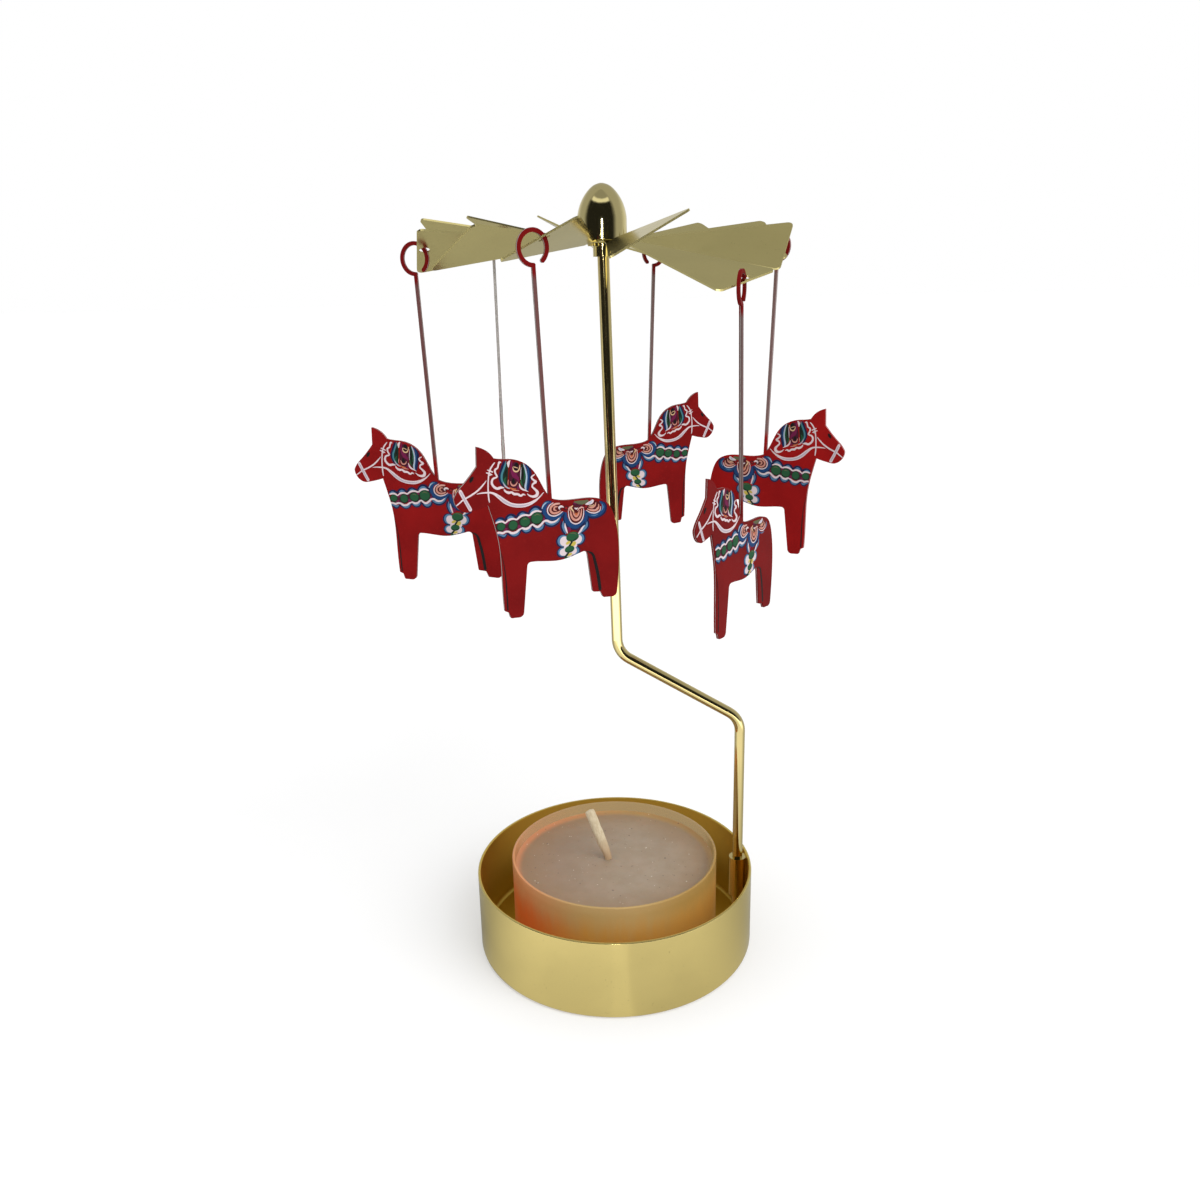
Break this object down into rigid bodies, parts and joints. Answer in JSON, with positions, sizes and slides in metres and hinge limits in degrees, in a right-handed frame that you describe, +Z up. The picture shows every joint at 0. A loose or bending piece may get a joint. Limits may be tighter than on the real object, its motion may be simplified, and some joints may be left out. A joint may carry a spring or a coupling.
{
  "type": "tealight carousel",
  "caption": "Candle-driven carousel: warm air from a tealight in a gold cup turns a twisted-blade fan on a bent rod, with flat red painted folk horses hung from it.",
  "frame": {"origin": "middle of the base cup's underside, on the fan's axis", "axes": "+Z up along the fan's axis, -Y towards the viewer of the picture, +X to the side where the rod stands"},
  "size_m": [0.081, 0.068, 0.1346],
  "materials": {
    "gold_sheet": "polished plated sheet",
    "gold_wire": "polished plated wire",
    "gold_hub": "mirror-polished plating",
    "bearing_steel": "smooth",
    "painted_red": "printed satin paint on both faces, bare grey metal at the cut edges",
    "clear_plastic": "clear",
    "wax": "smooth wax",
    "wick": "waxed cotton",
    "tin": "tinned sheet"
  },
  "bodies": {
    "stand": {"base_cup": "gold_sheet", "rod_socket": "gold_sheet", "stand_rod": "gold_wire"},
    "rotor": {"fan_rotor": "gold_sheet", "hub_dome": "gold_hub", "hub_collar": "gold_hub", "pivot_bearing": "bearing_steel"},
    "tealight": {"tealight_cup": "clear_plastic", "tealight_wax": "wax", "tealight_wick": "wick", "wick_sustainer": "tin"},
    "pendant_1": {"pendant_1": "painted_red"},
    "pendant_2": {"pendant_2": "painted_red"},
    "pendant_3": {"pendant_3": "painted_red"},
    "pendant_4": {"pendant_4": "painted_red"},
    "pendant_5": {"pendant_5": "painted_red"},
    "pendant_6": {"pendant_6": "painted_red"}
  },
  "joints": [
    {"name": "rotor_spin", "type": "hinge", "parent": "stand", "child": "rotor", "pos_m": [0, 0, 0.1258], "axis": [0, 0, 1], "continuous": true},
    {"name": "tealight_lift", "type": "slide", "parent": "stand", "child": "tealight", "axis": [0, 0, 1], "range_m": [0, 0.02]},
    {"name": "pendant_1_swing", "type": "hinge", "parent": "rotor", "child": "pendant_1", "pos_m": [-0.02869, -0.00622, 0.1239], "axis": [0.2284, 0.9736, 0], "range_deg": [-15, 15]},
    {"name": "pendant_2_swing", "type": "hinge", "parent": "rotor", "child": "pendant_2", "pos_m": [-0.00932, -0.02746, 0.12475], "axis": [-0.4274, 0.9041, 0], "range_deg": [-15, 15]},
    {"name": "pendant_3_swing", "type": "hinge", "parent": "rotor", "child": "pendant_3", "pos_m": [0.01957, -0.01981, 0.11892], "axis": [-0.9444, 0.3289, 0], "range_deg": [-15, 15]},
    {"name": "pendant_4_swing", "type": "hinge", "parent": "rotor", "child": "pendant_4", "pos_m": [0.02847, 0.00568, 0.12478], "axis": [-0.5476, -0.8368, 0], "range_deg": [-15, 15]},
    {"name": "pendant_5_swing", "type": "hinge", "parent": "rotor", "child": "pendant_5", "pos_m": [0.00933, 0.02747, 0.12446], "axis": [0.4352, -0.9003, 0], "range_deg": [-15, 15]},
    {"name": "pendant_6_swing", "type": "hinge", "parent": "rotor", "child": "pendant_6", "pos_m": [-0.01934, 0.02172, 0.12685], "axis": [0.9949, 0.1011, 0], "range_deg": [-15, 15]}
  ]
}
